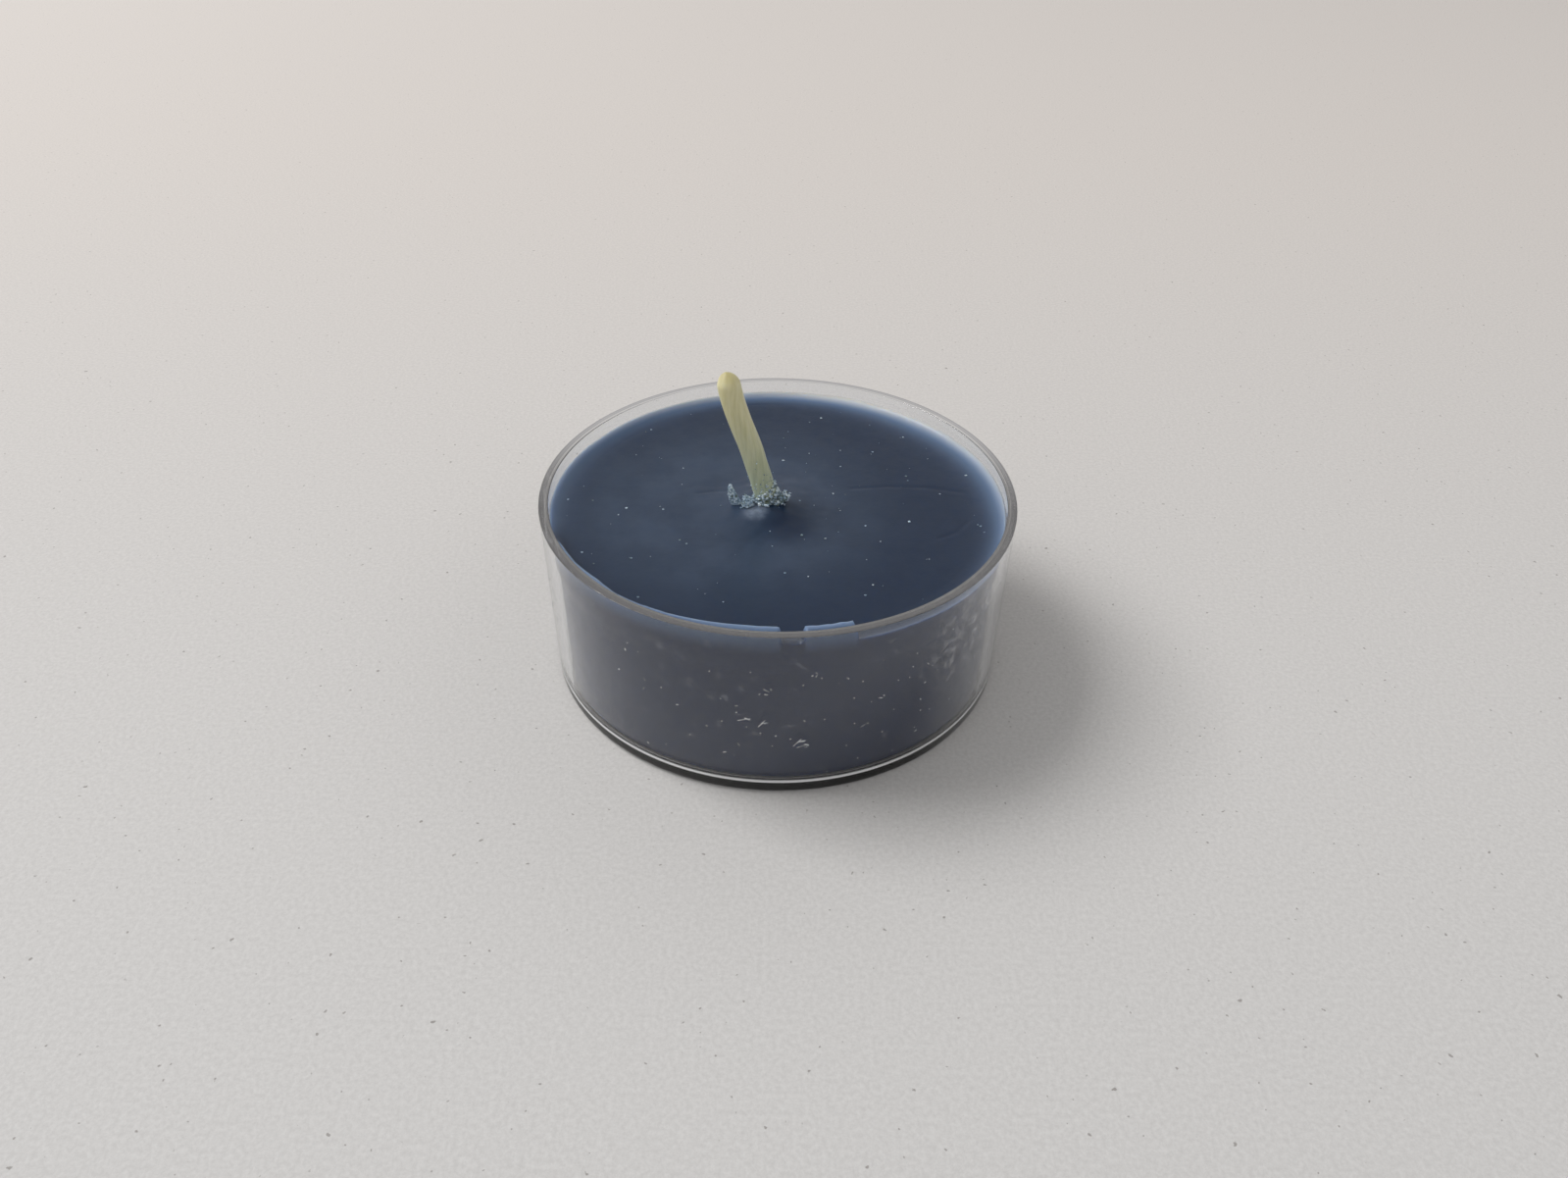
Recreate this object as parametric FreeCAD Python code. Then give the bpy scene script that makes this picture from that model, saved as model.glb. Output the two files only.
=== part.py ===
import FreeCAD, Part
import math
import os

# A tea light in a clear moulded cup, in millimetres, +Z up.
# The origin is the middle of the face that the cup stands on.

# Clear cup, moulded with a little draft so that it leaves its tool
rim_diameter = 38.5
foot_diameter = 38.1
cup_height = 15.5
wall_thickness = 0.75
floor_thickness = 0.95
foot_corner = 0.45
foot_corner_share = 0.29
inner_corner_bevel = 0.35
rim_bevel = 0.1
foot_ring_width = 1.4
underside_recess = 0.2
gate_mark_diameter = 2.4
gate_mark_height = 0.1

# Wax, cast in the cup and shrunk a little from its wall
fill_below_rim = 1.45
shrink_gap = 0.27
wax_corner_bevel = 0.5
wax_edge_bevel = 0.15

# Mound that the wax draws up round the wick
mound_radius = 3.6
mound_height = 0.75
mound_shoulder_radius = 1.7
mound_bow = 0.08

# Lip of wax left standing on the cup's wall, from the left round the front
lip_below_rim = 0.15
lip_start_angle = -163.0
lip_end_angle = -72.5
lip_feather_angle = 9.0
lip_foot_reach = 0.5
lip_foot_dip = 0.06
lip_foot_depth = 0.6
lip_hollow_share = 0.28
lip_start_share = 0.15
lip_thickness_left = 0.16
lip_thickness_dip = 0.32
lip_thickness_step = 0.14
lip_thickness_front = 0.68
lip_dip_angle = -136.0
lip_step_angle = -129.0
lip_front_angle = -97.0

# Nick broken out of the lip at the front
nick_angle = -86.5
nick_top_width = 1.95
nick_bottom_width = 1.3
nick_depth = 0.8

# Wick, a waxed round cord that stands up in the wax and leans to the left
wick_diameter = 1.9
wick_x = -0.6
wick_y = -0.5
wick_bend_below_wax = 0.5
wick_lower_rise = 5.45
wick_lower_angle = 14.5
wick_upper_rise = 4.3
wick_upper_angle = 20.4
wick_end_rise = 2.6
wick_end_angle = 12.0
wick_end_radius = 0.7
wick_bend_reach = 1.15

# Tin-plated foot that holds the wick on the cup's floor
sustainer_diameter = 12.5
sustainer_thickness = 0.25
collar_wall = 0.3
collar_height = 3.0
collar_root_bevel = 0.3
crimp_depth = 0.12
crimp_diameter = 1.2

# Crust of wax crumbs stuck round the wick's foot, higher on the right
crust_thickness = 0.28
crust_low_rise = 0.3
crust_high_rise = 1.45
crust_high_angle = -15.0
crust_sink = 0.4
crumb_count = 26
crumb_size = 0.46
crumb_size_swing = 0.12
crumb_stretch = 1.25
crumb_cross_angle = 40.0
crumb_turn_step = 275.0
golden_angle = 137.508

# Two chips of wax that stand on the mound against the crust
chip_sink = 0.35
left_chip_width = 0.85
left_chip_height = 1.75
left_chip_reach = 1.95
left_chip_turn = 12.0
left_chip_place = -155.0
right_chip_width = 0.72
right_chip_height = 1.65
right_chip_reach = 1.62
right_chip_turn = 62.0
right_chip_place = -16.0

# Curled shaving of wax that stands at the left of the crust
curl_height = 2.0
curl_lean = 1.28
curl_bulge = 1.12
curl_waist = 0.6
curl_waist_share = 0.4
curl_tip_width = 0.36
curl_foot_width = 0.5
curl_thickness = 0.42
curl_sink = 0.3
curl_reach = 2.0
curl_place = -166.0

Z_AXIS = FreeCAD.Vector(0, 0, 1)
AXIS_FOOT = FreeCAD.Vector(0, 0, 0)
BIG = rim_diameter
TOLERANCE = 0.001

wax_level = cup_height - fill_below_rim
wick_foot = FreeCAD.Vector(wick_x, wick_y, floor_thickness)


def polar(radius, angle, height=0.0):
    """Point at a radius, an angle in degrees and a height."""
    turn = math.radians(angle)
    return FreeCAD.Vector(radius * math.cos(turn), radius * math.sin(turn), height)


def outline(points):
    """Face inside a closed run of straight edges."""
    return Part.Face(Part.makePolygon(points + [points[0]]))


def turned(points):
    """Solid made by turning an outline of radius and height round the Z axis."""
    corners = [FreeCAD.Vector(radius, 0, height) for radius, height in points]
    return outline(corners).revolve(AXIS_FOOT, Z_AXIS, 360)


def ring_edges(solid, height, radius):
    """Round edges of a solid that lie at a height and have a radius."""
    rings = []
    for edge in solid.Edges:
        box = edge.BoundBox
        level = abs(box.ZMin - height) < TOLERANCE and abs(box.ZMax - height) < TOLERANCE
        if level and hasattr(edge.Curve, "Radius") and abs(edge.Curve.Radius - radius) < TOLERANCE:
            rings.append(edge)
    return rings


def wall_radius(height):
    """Outer radius of the drafted wall at a height."""
    return (foot_diameter + (rim_diameter - foot_diameter) * height / cup_height) / 2


def cavity_radius(height):
    """Inner radius of the cup at a height."""
    return wall_radius(height) - wall_thickness


def make_cavity():
    """Space inside the cup, from its floor up to its rim."""
    corner_level = floor_thickness + inner_corner_bevel
    floor_radius = cavity_radius(floor_thickness) - inner_corner_bevel
    return turned([(0, floor_thickness), (floor_radius, floor_thickness),
                   (cavity_radius(corner_level), corner_level),
                   (cavity_radius(cup_height), cup_height), (0, cup_height)])


def make_cup():
    """Clear cup with a softened foot corner, a bevelled rim, a foot ring and its gate mark."""
    bevel = foot_corner * foot_corner_share
    body = turned([(0, 0), (wall_radius(0) - foot_corner, 0), (wall_radius(bevel) - bevel, bevel),
                   (wall_radius(foot_corner), foot_corner),
                   (wall_radius(cup_height), cup_height), (0, cup_height)])
    body = body.cut(make_cavity())
    rim_edges = (ring_edges(body, cup_height, wall_radius(cup_height))
                 + ring_edges(body, cup_height, cavity_radius(cup_height)))
    body = body.makeChamfer(rim_bevel, rim_edges)
    recess_radius = wall_radius(0) - foot_corner - foot_ring_width
    recess = Part.makeCone(recess_radius, recess_radius - underside_recess, underside_recess)
    gate_mark = Part.makeCylinder(gate_mark_diameter / 2, gate_mark_height,
                                  FreeCAD.Vector(0, 0, underside_recess - gate_mark_height))
    return body.cut(recess).fuse(gate_mark).removeSplitter()


def wick_points():
    """Corners of the wick's centre line, from the cup's floor to the tip."""
    corners = [wick_foot]
    corners.append(FreeCAD.Vector(wick_x, wick_y, wax_level - wick_bend_below_wax))
    runs = ((wick_lower_rise, wick_lower_angle),
            (wick_upper_rise, wick_upper_angle),
            (wick_end_rise, wick_end_angle))
    for rise, angle in runs:
        step = FreeCAD.Vector(-rise * math.tan(math.radians(angle)), 0, rise)
        corners.append(corners[-1] + step)
    return corners


def bent_path(corners):
    """Wire of straight runs with a tangent arc at each corner."""
    edges = []
    start = corners[0]
    for before, corner, after in zip(corners, corners[1:], corners[2:]):
        back = (before - corner).normalize()
        ahead = (after - corner).normalize()
        half_turn = (math.pi - back.getAngle(ahead)) / 2
        radius = wick_bend_reach / math.tan(half_turn)
        arc_start = corner + back * wick_bend_reach
        arc_end = corner + ahead * wick_bend_reach
        sagitta = radius / math.cos(half_turn) - radius
        middle = corner + (back + ahead).normalize() * sagitta
        edges.append(Part.LineSegment(start, arc_start).toShape())
        edges.append(Part.Arc(arc_start, middle, arc_end).toShape())
        start = arc_end
    edges.append(Part.LineSegment(start, corners[-1]).toShape())
    return Part.Wire(edges)


def make_wick():
    """Round waxed wick with a blunt, rounded tip."""
    corners = wick_points()
    disc = Part.Wire([Part.makeCircle(wick_diameter / 2, corners[0], Z_AXIS)])
    cord = bent_path(corners).makePipeShell([disc], True, True)
    tip_edges = [edge for edge in cord.Edges
                 if edge.BoundBox.ZMin > corners[-1].z - wick_diameter and edge.isClosed()]
    return cord.makeFillet(wick_end_radius, tip_edges)


def make_wick_sustainer(wick):
    """Stamped disc with a collar that is crimped on the wick."""
    disc = Part.makeCylinder(sustainer_diameter / 2, sustainer_thickness, wick_foot)
    collar_radius = wick_diameter / 2 + collar_wall
    collar = Part.makeCylinder(collar_radius, collar_height, wick_foot)
    stamping = disc.fuse(collar).removeSplitter()
    root_edges = ring_edges(stamping, floor_thickness + sustainer_thickness, collar_radius)
    stamping = stamping.makeChamfer(collar_root_bevel, root_edges)
    crimp_level = floor_thickness + (sustainer_thickness + collar_root_bevel + collar_height) / 2
    for side in (-1, 1):
        reach = collar_radius - crimp_depth + crimp_diameter / 2
        middle = FreeCAD.Vector(wick_x - collar_radius, wick_y + side * reach, crimp_level)
        dent = Part.makeCylinder(crimp_diameter / 2, 2 * collar_radius, middle, FreeCAD.Vector(1, 0, 0))
        stamping = stamping.cut(dent)
    return stamping.cut(wick)


def make_mound():
    """Smooth rise of wax round the wick, hollow at its foot and round at its shoulder."""
    top = wax_level + mound_height
    foot = FreeCAD.Vector(mound_radius, 0, wax_level)
    waist = FreeCAD.Vector(mound_shoulder_radius, 0, wax_level + mound_height / 2)
    low_middle = (foot + waist) / 2 - Z_AXIS * mound_bow
    high_middle = (waist + FreeCAD.Vector(0, 0, top)) / 2 + Z_AXIS * mound_bow
    below = wax_level - mound_height
    edges = [
        Part.Arc(foot, low_middle, waist).toShape(),
        Part.Arc(waist, high_middle, FreeCAD.Vector(0, 0, top)).toShape(),
        Part.LineSegment(FreeCAD.Vector(0, 0, top), FreeCAD.Vector(0, 0, below)).toShape(),
        Part.LineSegment(FreeCAD.Vector(0, 0, below), FreeCAD.Vector(mound_radius, 0, below)).toShape(),
        Part.LineSegment(FreeCAD.Vector(mound_radius, 0, below), foot).toShape()]
    mound = Part.Face(Part.Wire(edges)).revolve(AXIS_FOOT, Z_AXIS, 360)
    middle = wick_centre(top)
    mound.translate(FreeCAD.Vector(middle.x, middle.y, 0))
    return mound


def lip_section(angle, thickness, share):
    """Upright section of the lip at an angle, with a share of its full height."""
    wall = cavity_radius(cup_height)
    crest_level = wax_level + share * (fill_below_rim - lip_below_rim)
    bottom = wax_level - lip_foot_depth
    foot_radius = wall - thickness - lip_foot_reach
    hollow_radius = wall - thickness - lip_foot_reach * lip_hollow_share
    hollow_level = wax_level + (crest_level - wax_level) * lip_hollow_share
    crest = polar(wall - thickness, angle, crest_level)
    foot = polar(foot_radius, angle, wax_level - lip_foot_dip)
    corners = [crest, polar(rim_diameter / 2, angle, crest_level), polar(rim_diameter / 2, angle, bottom),
               polar(foot_radius, angle, bottom), foot]
    edges = [Part.LineSegment(one, other).toShape() for one, other in zip(corners, corners[1:])]
    edges.append(Part.Arc(foot, polar(hollow_radius, angle, hollow_level), crest).toShape())
    return Part.Wire(edges)


def make_lip():
    """Film of wax on the cup's wall, thick at the front, with a nick broken out."""
    stations = (
        (lip_start_angle, lip_thickness_left, lip_start_share),
        (lip_start_angle + lip_feather_angle, lip_thickness_left, 1),
        (lip_dip_angle - lip_feather_angle, lip_thickness_left, 1),
        (lip_dip_angle, lip_thickness_dip, 1),
        (lip_step_angle, lip_thickness_step, 1),
        ((lip_step_angle + lip_front_angle) / 2, (lip_thickness_step + lip_thickness_front) / 2, 1),
        (lip_front_angle, lip_thickness_front, 1),
        ((lip_front_angle + lip_end_angle) / 2, lip_thickness_front, 1),
        (lip_end_angle, lip_thickness_front, 1))
    film = Part.makeLoft([lip_section(*station) for station in stations], True, False)
    return film.common(make_cavity()).cut(make_nick())


def make_nick():
    """Wedge that is missing from the lip, long enough to pass through it both ways."""
    top = cup_height - lip_below_rim
    reach = 2 * lip_thickness_front
    middle = polar(cavity_radius(cup_height) - reach, nick_angle)
    outward = polar(2 * reach, nick_angle)
    half_bottom = polar(nick_bottom_width / 2, nick_angle + 90)
    half_top = polar(nick_top_width / 2, nick_angle + 90)
    low = middle + Z_AXIS * (top - nick_depth)
    high = middle + Z_AXIS * (top + nick_depth)
    crest = middle + Z_AXIS * top
    corners = [low - half_bottom, low + half_bottom, crest + half_top, high + half_top,
               high - half_top, crest - half_top]
    return outline(corners).extrude(outward)


def make_wax(wick, sustainer):
    """Cast wax with its mound, its lip, and the room that the wick and its foot take."""
    foot_radius = cavity_radius(floor_thickness) - shrink_gap
    corner_level = floor_thickness + wax_corner_bevel
    corner_radius = cavity_radius(corner_level) - shrink_gap
    shoulder_level = wax_level - wax_edge_bevel
    shoulder_radius = cavity_radius(shoulder_level) - shrink_gap
    block = turned([(0, floor_thickness), (foot_radius - wax_corner_bevel, floor_thickness),
                    (corner_radius, corner_level), (shoulder_radius, shoulder_level),
                    (shoulder_radius - wax_edge_bevel, wax_level), (0, wax_level)])
    block = block.fuse([make_mound(), make_lip()]).removeSplitter()
    return block.cut(sustainer).cut(wick)


def make_crumb(size, height, place, turn):
    """Angular crumb: what two blocks share that cross at a slant."""
    blocks = []
    for slant in (0, crumb_cross_angle):
        block = Part.makeBox(size, size, height, FreeCAD.Vector(-size / 2, -size / 2, -height / 2))
        block.rotate(AXIS_FOOT, FreeCAD.Vector(1, 1, 0), slant)
        block.rotate(AXIS_FOOT, Z_AXIS, turn + slant)
        blocks.append(block)
    crumb = blocks[0].common(blocks[1])
    crumb.translate(place)
    return crumb


def wick_centre(height):
    """Middle of the wick at a height near the top of the wax."""
    bend = wax_level - wick_bend_below_wax
    shift = max(height - bend, 0) * math.tan(math.radians(wick_lower_angle))
    return FreeCAD.Vector(wick_x - shift, wick_y, height)


def crust_rise(angle):
    """Height of the crust above the mound at an angle round the wick."""
    share = (1 + math.cos(math.radians(angle - crust_high_angle))) / 2
    return crust_low_rise + (crust_high_rise - crust_low_rise) * share


def make_crust_sleeve(reach, bottom, top):
    """Sleeve that hugs the leaning wick, with its top cut at a slope."""
    foot = wick_centre(bottom)
    head = wick_centre(top + crust_high_rise)
    sleeve = Part.Face(Part.Wire([Part.makeCircle(reach, foot, Z_AXIS)])).extrude(head - foot)
    slope = math.degrees(math.atan2(crust_high_rise - crust_low_rise, 2 * reach))
    lid = Part.makeBox(BIG, BIG, BIG, FreeCAD.Vector(-BIG / 2, -BIG / 2, 0))
    lid.rotate(AXIS_FOOT, FreeCAD.Vector(0, -1, 0), slope)
    lid.rotate(AXIS_FOOT, Z_AXIS, crust_high_angle)
    lid.translate(wick_centre(top + (crust_low_rise + crust_high_rise) / 2))
    return sleeve.cut(lid)


def make_wick_crust(wick, wax):
    """Rough collar of wax crumbs round the wick, cut to the wick and the wax."""
    top = wax_level + mound_height
    reach = wick_diameter / 2 + crust_thickness
    sleeve = make_crust_sleeve(reach, top - crust_sink, top)
    lumps = []
    for index in range(crumb_count):
        angle = index * golden_angle
        rise = crust_rise(angle) * (index + 1) / crumb_count
        # the sine of a growing number swings unevenly, and the same way at every build
        size = crumb_size + crumb_size_swing * math.sin(index * index)
        place = wick_centre(top + rise - crust_sink / 2) + polar(reach, angle)
        lumps.append(make_crumb(size, size * crumb_stretch, place, index * crumb_turn_step))
    return sleeve.fuse(lumps).cut(wick).cut(wax)


def make_wax_chip(width, height, reach, angle, turn, wax, crust):
    """Chip of wax that stands on the mound against the crust."""
    foot = wax_level - chip_sink
    place = wick_centre(wax_level) + polar(reach, angle)
    chip = make_crumb(width, height, FreeCAD.Vector(place.x, place.y, foot + height / 2), turn)
    return chip.cut(wax).cut(crust)


def make_wax_curl(wax, crust, neighbour):
    """Curled shaving with a blunt tip, standing on the wax."""
    foot = wick_centre(wax_level) + polar(curl_reach, curl_place)
    waist = curl_height * curl_waist_share
    outer_foot = FreeCAD.Vector(0, 0, -curl_sink)
    outer_middle = FreeCAD.Vector(-curl_bulge, 0, waist)
    outer_tip = FreeCAD.Vector(-curl_lean, 0, curl_height)
    inner_tip = outer_tip + FreeCAD.Vector(curl_tip_width, 0, 0)
    inner_middle = outer_middle + FreeCAD.Vector(curl_waist, 0, curl_waist / 2)
    inner_foot = FreeCAD.Vector(curl_foot_width / 2, 0, -curl_sink)
    edges = [
        Part.Arc(outer_foot, outer_middle, outer_tip).toShape(),
        Part.LineSegment(outer_tip, inner_tip).toShape(),
        Part.Arc(inner_tip, inner_middle, inner_foot).toShape(),
        Part.LineSegment(inner_foot, outer_foot).toShape()]
    shaving = Part.Face(Part.Wire(edges)).extrude(FreeCAD.Vector(0, curl_thickness, 0))
    shaving.translate(foot - FreeCAD.Vector(0, curl_thickness / 2, 0))
    return shaving.cut(wax).cut(crust).cut(neighbour)


def main():
    """Builds every piece and writes one file for each."""
    wick = make_wick()
    sustainer = make_wick_sustainer(wick)
    wax = make_wax(wick, sustainer)
    crust = make_wick_crust(wick, wax)
    left_chip = make_wax_chip(left_chip_width, left_chip_height, left_chip_reach, left_chip_place,
                              left_chip_turn, wax, crust)
    right_chip = make_wax_chip(right_chip_width, right_chip_height, right_chip_reach, right_chip_place,
                               right_chip_turn, wax, crust)
    curl = make_wax_curl(wax, crust, left_chip)
    pieces = {
        "cup": make_cup(), "wax": wax, "wick": wick, "wick_sustainer": sustainer, "wick_crust": crust,
        "wax_curl": curl, "wax_chip_left": left_chip, "wax_chip_right": right_chip}
    os.makedirs("parts", exist_ok=True)
    for name, shape in pieces.items():
        print(name, "solids", len(shape.Solids), "valid", shape.isValid(), "volume %.3f" % shape.Volume)
        shape.exportStep("parts/" + name + ".step")


main()
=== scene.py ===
import math
import random

import bmesh
import bpy
from mathutils import Matrix, Vector, noise


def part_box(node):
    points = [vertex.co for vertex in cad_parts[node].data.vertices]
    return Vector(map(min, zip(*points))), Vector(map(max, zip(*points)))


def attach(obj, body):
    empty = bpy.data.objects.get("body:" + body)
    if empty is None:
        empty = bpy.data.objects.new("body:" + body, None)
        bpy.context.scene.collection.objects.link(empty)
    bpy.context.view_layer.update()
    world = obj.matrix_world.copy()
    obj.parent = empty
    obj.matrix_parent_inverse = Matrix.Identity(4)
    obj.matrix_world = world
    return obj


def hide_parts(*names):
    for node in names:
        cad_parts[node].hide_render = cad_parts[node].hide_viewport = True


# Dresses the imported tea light. Sizes are in millimetres and angles in degrees until a mesh is made.

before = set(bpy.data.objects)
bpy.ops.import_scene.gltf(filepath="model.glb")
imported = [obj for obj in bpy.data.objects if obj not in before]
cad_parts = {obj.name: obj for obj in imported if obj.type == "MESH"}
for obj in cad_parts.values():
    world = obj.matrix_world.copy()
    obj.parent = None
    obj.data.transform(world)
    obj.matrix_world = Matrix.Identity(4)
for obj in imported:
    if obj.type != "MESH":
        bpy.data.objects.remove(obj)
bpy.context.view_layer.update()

MM = 0.001
GOLDEN_ANGLE = 137.508

# The photograph's camera, fitted to the ellipses of the rim and the foot
photo_width_px = 1599
focal_px = 1201
sensor_width = 36.0
camera_place = (0.0, -81.28, 66.79)
camera_pitch = 37.19
camera_yaw = 0.4275
camera_roll = 1.0335

# Cup, with its diameter, height and floor from the frame
rim_radius = min(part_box("cup")[1].xy) / MM
cup_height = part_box("cup")[1].z / MM
floor_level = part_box("wax")[0].z / MM
foot_draw_in = 0.2
wall_thickness = 0.75
foot_corner = 0.45
inner_corner = 0.4
rim_rounding = 0.07
foot_ring_width = 1.4
underside_recess = 0.2
gate_mark_radius = 1.2
gate_mark_height = 0.1
film_gap = 0.02
cup_segments = 288

# Wax
wax_level = 14.05
shrink_gap = 0.27
wax_corner = 0.3
mound_radius = 3.6
mound_height = 0.75
mound_shoulder = 1.7
mound_bow = 0.08
mound_skirt = 0.28
mound_skirt_radius = 2.5
side_gloss = 0.1
# Lighter, bluer colour for the wax's side seen through the cup: painted light
painted_lighter_side_blue = (8, 36, 78)
# Middle of the lighter colour on the wax's top
lighter_top_place = (-4.0, -1.0)
# Painted shade on the mound's front slope, round this place
painted_shade_slope_place = (0.9, -3.6)
# Painted highlight on the mound's left front, at this place and height
mound_shine_place = (-1.8, -2.2)
mound_shine_rise = 0.4
meniscus_back = 0.45
meniscus_left = 0.3
meniscus_reach = 0.45
wax_segments = 560
top_rings = 122
ripple_depth = 0.035
ripple_half_width = 0.22
long_ripple = ((6.1, 2.2), (9.1, 2.6), (12.4, 2.5), (15.6, 1.8),
               (15.8, 0.0), (15.4, -2.3), (14.2, -4.0), (12.8, -4.9))
short_ripple = ((-6.7, 1.2), (-5.5, 1.4), (-4.3, 1.3))
foot_disc_radius = 6.27
foot_disc_top = 1.21

# Painted glow in the wax's colour where light comes through its edge, as angle and strength and as angle and
# reach
glow_strengths = ((-180, 0.6), (-72, 0.25), (-35, 0.35), (0, 0.66), (40, 0.86),
                  (70, 1.0), (110, 0.95), (140, 0.8), (180, 0.6))
glow_reaches = ((-180, 1.0), (-72, 0.5), (0, 1.4), (45, 1.5), (95, 0.9), (140, 0.95), (180, 1.0))

# Lip of wax on the cup's wall, with a painted highlight on its crest
lip_below_rim = 0.15
lip_start = -163.0
lip_end = -72.5
lip_feather = 9.0
lip_foot_reach = 0.5
lip_foot_depth = 0.6
gap_growth = 1.6
lip_thicknesses = ((-163.0, 0.16), (-145.0, 0.16), (-136.0, 0.32),
                   (-129.0, 0.14), (-97.0, 0.68), (-72.5, 0.68))
nick_angle = -86.5
nick_top_width = 1.95
nick_bottom_width = 1.3
nick_depth = 0.8
# Strength of the painted highlight on the lip's crest
lip_shine = 0.54

# Wick
wick_radius = 0.95
wick_foot_x = -0.6
wick_foot_y = -0.5
wick_bends = ((13.55, 15.0), (19.0, 19.2), (23.3, 11.0))
wick_bend_reach = 1.2
wick_segments = 96
wick_twist = 16.0
strand_count = 7
strand_relief = 0.03
tip_length = 1.15
tip_taper = 1.25
tip_slant = 0.3

# Window light
window_direction = (-0.6, 0.18, 0.77)
window_distance = 1400.0
window_size = 715.0
window_watts = 13.3

# Crust of crumbs at the wick's foot
crust_low_rise = 0.3
crust_high_rise = 1.75
crust_high_angle = -12.0
crumb_count = 380
fine_crumb_count = 70
speck_count = 110
speck_reach = 17.3
curl_growth = 0.25

# Flecks and scratches on the cup's wall, the larger ones as angle, height, length and slant
fleck_count = 90
left_fleck_count = 50
wall_scratches = ((-97.0, 7.6, 1.0, 20.0), (-93.0, 7.3, 0.9, 55.0), (-92.0, 10.6, 0.5, -30.0),
                  (-85.0, 5.4, 1.1, 50.0), (-84.0, 5.0, 0.8, 20.0), (-66.5, 8.6, 0.5, -20.0),
                  (-70.0, 6.2, 0.5, 30.0))

# Haze on the cup's wall, lighter on its right side as haze and painted light, and its cloudy patch
right_haze_and_light_share = 0.14
cloud_angle = -40.0
cloud_height = 11.0

# Painted highlight above the foot: a band where the plastic turns milky, standing in for the bright line of
# light at the foot's corner
painted_glint_low = 1.12
painted_glint_top = 1.5


def srgb(red, green, blue):
    """Linear colour of an 8-bit sRGB colour."""
    parts = []
    for value in (red, green, blue):
        share = value / 255
        parts.append(share / 12.92 if share <= 0.04045 else ((share + 0.055) / 1.055) ** 2.4)
    return (*parts, 1.0)


def smooth(low, high, value):
    """Soft step from 0 at low to 1 at high."""
    share = min(max((value - low) / (high - low), 0.0), 1.0)
    return share * share * (3 - 2 * share)


def mix(one, other, share):
    """Value between two values."""
    return one + (other - one) * share


def along(stations, place):
    """Value at a place between stations of place and value."""
    for (before, low), (after, high) in zip(stations, stations[1:]):
        if place <= after:
            return mix(low, high, max(place - before, 0) / (after - before))
    return stations[-1][1]


def polar(radius, angle, height=0.0):
    """Point at a radius, an angle in degrees and a height."""
    turn = math.radians(angle)
    return Vector((radius * math.cos(turn), radius * math.sin(turn), height))


def arc(radius, height, bend, start, end, steps):
    """Points of an arc in the plane of radius and height."""
    points = []
    for index in range(steps + 1):
        turn = math.radians(mix(start, end, index / steps))
        points.append((radius + bend * math.cos(turn), height + bend * math.sin(turn)))
    return points


def run(start, end, steps):
    """Points of a straight run, without its end."""
    return [tuple(mix(a, b, index / steps) for a, b in zip(start, end)) for index in range(steps)]


# Meshes

def make_object(name, points, faces, material, flat=False):
    """Object from points in millimetres, riding on the candle's body."""
    mesh = bpy.data.meshes.new(name)
    mesh.from_pydata([tuple(c * MM for c in point) for point in points], [], faces)
    edit = bmesh.new()
    edit.from_mesh(mesh)
    bmesh.ops.recalc_face_normals(edit, faces=edit.faces)
    edit.to_mesh(mesh)
    edit.free()
    mesh.polygons.foreach_set("use_smooth", [not flat] * len(mesh.polygons))
    mesh.materials.append(material)
    piece = bpy.data.objects.new(name, mesh)
    bpy.context.collection.objects.link(piece)
    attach(piece, "root")
    return piece


def ring_mesh(rings):
    """Points and faces of a closed body through rings, with a fan at each end."""
    columns = len(rings[0])
    points = [Vector(point) for ring in rings for point in ring]
    faces = []
    for row in range(len(rings) - 1):
        for column in range(columns):
            near = row * columns
            far = near + columns
            after = (column + 1) % columns
            faces.append((near + column, near + after, far + after, far + column))
    for first in (0, (len(rings) - 1) * columns):
        centre = sum(points[first:first + columns], Vector()) / columns
        points.append(centre)
        faces += [(len(points) - 1, first + column, first + (column + 1) % columns) for column in range(columns)]
    return points, faces


def lathe(profile, segments):
    """Rings of a profile of radius and height turned round the Z axis."""
    return [[polar(radius, 360 * index / segments, height) for index in range(segments)]
            for radius, height in profile]


# Cup

def wall_radius(height):
    """Outer radius of the drafted wall at a height."""
    return rim_radius - foot_draw_in * (1 - height / cup_height)


def cavity_radius(height):
    """Inner radius of the cup at a height."""
    return wall_radius(height) - wall_thickness


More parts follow.
